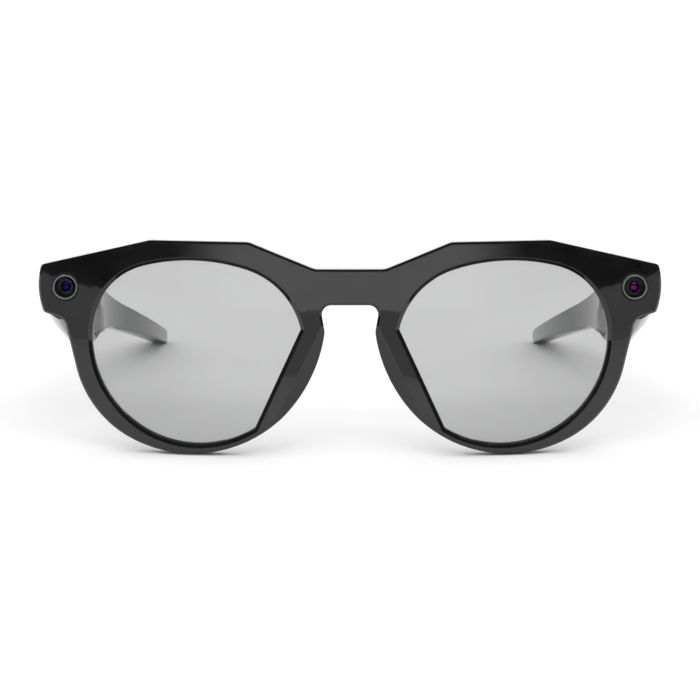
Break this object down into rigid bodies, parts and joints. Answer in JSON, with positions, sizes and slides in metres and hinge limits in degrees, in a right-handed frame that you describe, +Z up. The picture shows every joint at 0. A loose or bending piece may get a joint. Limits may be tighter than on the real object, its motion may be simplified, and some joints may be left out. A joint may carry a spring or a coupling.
{
  "type": "smart glasses",
  "caption": "Glossy black smart glasses: round keyhole front with clear lenses, camera and indicator in the end pieces, folding temples with speakers, a press button and a slide switch.",
  "frame": {"origin": "on the surface the glasses stand on, below the centre of their bounding box", "axes": "+Z up; -Y the way the wearer looks, so the temples reach toward +Y; +X the wearer's left"},
  "size_m": [0.1476, 0.154, 0.0503],
  "materials": {
    "battery_foil": "foil pouch",
    "black_metal": "black anodised",
    "circuit_board": "solder mask",
    "component_case": "moulded",
    "contact_metal": "gold plated",
    "control_plastic": "polished black",
    "cover_plastic": "fine satin black",
    "frame_plastic": "polished glossy black",
    "grille_metal": "black, perforated",
    "hinge_metal": "brushed steel, dark",
    "lens": "clear, with a light grey tint",
    "light_guide": "milky clear",
    "pad_plastic": "polished black",
    "ring_metal": "dark anodised, satin",
    "screw_metal": "turned steel",
    "sensor_film": "polyimide film",
    "window_glass": "dark coated glass"
  },
  "bodies": {
    "front": {"camera_barrel": "black_metal", "camera_bezel": "ring_metal", "camera_sensor_board": "circuit_board", "camera_window": "window_glass", "charge_contacts": "contact_metal", "front_frame": "frame_plastic", "hinge_front_leaf_left": "hinge_metal", "hinge_front_leaf_right": "hinge_metal", "hinge_pin_left": "hinge_metal", "hinge_pin_right": "hinge_metal", "hinge_screws_left": "hinge_metal", "hinge_screws_right": "hinge_metal", "indicator_bezel": "ring_metal", "indicator_led_board": "circuit_board", "indicator_light_guide": "light_guide", "indicator_window": "window_glass", "lens_left": "lens", "lens_right": "lens", "nose_pad_left": "pad_plastic", "nose_pad_right": "pad_plastic"},
    "left_temple": {"battery_left": "battery_foil", "cover_screws_left": "screw_metal", "hinge_temple_leaf_left": "hinge_metal", "microphone_left": "component_case", "power_switch_board": "circuit_board", "speaker_grille_left": "grille_metal", "speaker_left": "component_case", "temple_cover_left": "cover_plastic", "temple_shell_left": "frame_plastic"},
    "right_temple": {"capture_switch": "component_case", "cover_screws_right": "screw_metal", "hinge_temple_leaf_right": "hinge_metal", "main_board_right": "circuit_board", "microphone_right": "component_case", "speaker_grille_right": "grille_metal", "speaker_right": "component_case", "temple_cover_right": "cover_plastic", "temple_shell_right": "frame_plastic", "touch_sensor_right": "sensor_film"},
    "capture_key": {"capture_button": "control_plastic"},
    "power_key": {"power_slider": "control_plastic"}
  },
  "joints": [
    {"name": "fold_left", "type": "hinge", "parent": "front", "child": "left_temple", "pos_m": [0.062, -0.05245, 0.03548], "axis": [0, 0.0872, 0.9962], "range_deg": [0, 88]},
    {"name": "fold_right", "type": "hinge", "parent": "front", "child": "right_temple", "pos_m": [-0.062, -0.05245, 0.03548], "axis": [0, -0.0872, -0.9962], "range_deg": [0, 76]},
    {"name": "capture_press", "type": "slide", "parent": "right_temple", "child": "capture_key", "axis": [0, -0.3043, -0.9526], "range_m": [0, 0.0004], "stiffness_N_per_m": 1500, "springref_m": -0.0005},
    {"name": "power_slide", "type": "slide", "parent": "left_temple", "child": "power_key", "axis": [0, 0.9962, -0.0872], "range_m": [0, 0.002]}
  ]
}
